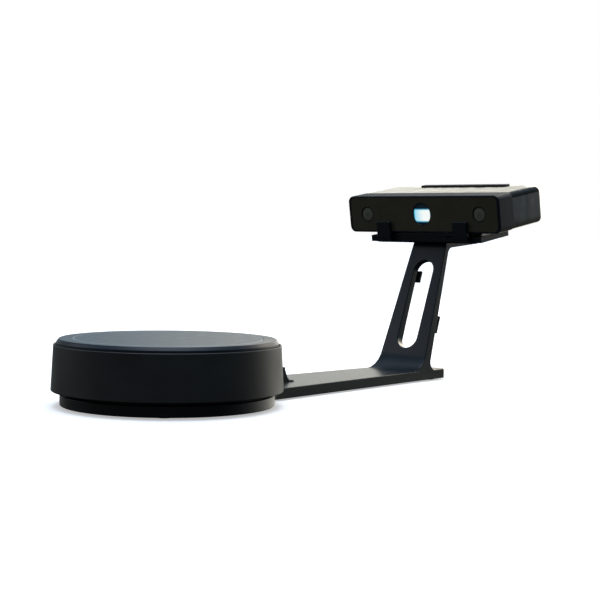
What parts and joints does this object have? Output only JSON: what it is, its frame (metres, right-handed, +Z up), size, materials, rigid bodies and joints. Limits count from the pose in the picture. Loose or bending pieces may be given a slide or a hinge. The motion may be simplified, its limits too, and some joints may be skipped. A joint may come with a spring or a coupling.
{
  "type": "desktop turntable scanner",
  "caption": "Desktop structured-light scanner: a motor-driven turntable on a cast stand, with a tilted camera and projector head in a cradle.",
  "frame": {"origin": "on the table, midway along the object's length, in its plane of symmetry", "axes": "+X from the turntable to the scan head, +Z up"},
  "size_m": [0.57, 0.21, 0.2152],
  "materials": {
    "cast_black": "black satin paint on cast aluminium",
    "matt_black_plastic": "fine matt texture",
    "platter_plastic": "fine satin texture",
    "gloss_black": "piano-black gloss",
    "button_plastic": "satin grey",
    "rubber": "soft dark rubber",
    "steel": "machined steel",
    "gear_plastic": "natural acetal",
    "brass": "machined brass",
    "motor_black": "black lacquer",
    "circuit_board": "green solder mask",
    "aluminium": "milled",
    "lens_glass": "coated optical glass",
    "light_emitter": "light-emitting diode"
  },
  "bodies": {
    "base": {"stand": "cast_black", "feet": "rubber", "base_pan": "matt_black_plastic", "tray_screws": "steel", "cover": "matt_black_plastic", "cover_screws": "steel", "spindle": "steel", "bearing_inner_races": "steel", "bearing_balls": "steel", "retaining_ring": "steel", "glide_pads": "gear_plastic", "motor_body": "motor_black", "motor_screws": "steel", "turntable_board": "circuit_board", "board_screws": "steel", "socket_housing": "matt_black_plastic", "turntable_socket": "steel", "upper_cable_clip": "matt_black_plastic", "lower_cable_clip": "matt_black_plastic", "clip_screws": "steel", "cradle": "cast_black", "cradle_pads": "rubber", "cradle_screws": "steel"},
    "platter": {"platter": "platter_plastic", "platter_mat": "platter_plastic", "drive_gear": "gear_plastic", "gear_screws": "steel", "bearing_outer_races": "steel"},
    "motor_rotor": {"motor_shaft": "steel", "pinion": "brass"},
    "head": {"bezel": "matt_black_plastic", "front_window": "gloss_black", "rear_shell": "gloss_black", "head_screws": "steel", "rear_cowl": "matt_black_plastic", "cowl_screws": "steel", "optics_frame": "aluminium", "optics_screws": "steel", "left_camera_barrel": "matt_black_plastic", "right_camera_barrel": "matt_black_plastic", "left_camera_lens": "lens_glass", "right_camera_lens": "lens_glass", "left_camera_board": "circuit_board", "right_camera_board": "circuit_board", "projector_barrel": "matt_black_plastic", "projector_lens": "lens_glass", "projector_housing": "aluminium", "light_source": "light_emitter", "heat_sink": "aluminium", "fan_frame": "matt_black_plastic", "main_board": "circuit_board", "power_inlet": "matt_black_plastic", "data_socket": "steel", "link_socket": "steel", "button_spring": "steel", "button_switch": "matt_black_plastic"},
    "fan": {"fan_rotor": "matt_black_plastic"},
    "button": {"power_button": "button_plastic"}
  },
  "joints": [
    {"name": "platter_spin", "type": "hinge", "parent": "base", "child": "platter", "pos_m": [-0.18, 0, 0.05], "axis": [0, 0, 1], "continuous": true},
    {"name": "pinion_spin", "type": "hinge", "parent": "base", "child": "motor_rotor", "pos_m": [-0.249, 0, 0.05], "axis": [0, 0, 1], "continuous": true},
    {"name": "head_slide", "type": "slide", "parent": "base", "child": "head", "axis": [0.9866, 0, 0.1633], "range_m": [0, 0.03]},
    {"name": "fan_spin", "type": "hinge", "parent": "head", "child": "fan", "pos_m": [0.27009, 0, 0.19191], "axis": [0.9866, 0, 0.1633], "continuous": true},
    {"name": "button_press", "type": "slide", "parent": "head", "child": "button", "axis": [-0.9866, 0, -0.1633], "range_m": [0, 0.001], "stiffness_N_per_m": 400}
  ],
  "couplings": [
    {"joint": "pinion_spin", "follows": "platter_spin", "ratio": -6.6667}
  ]
}
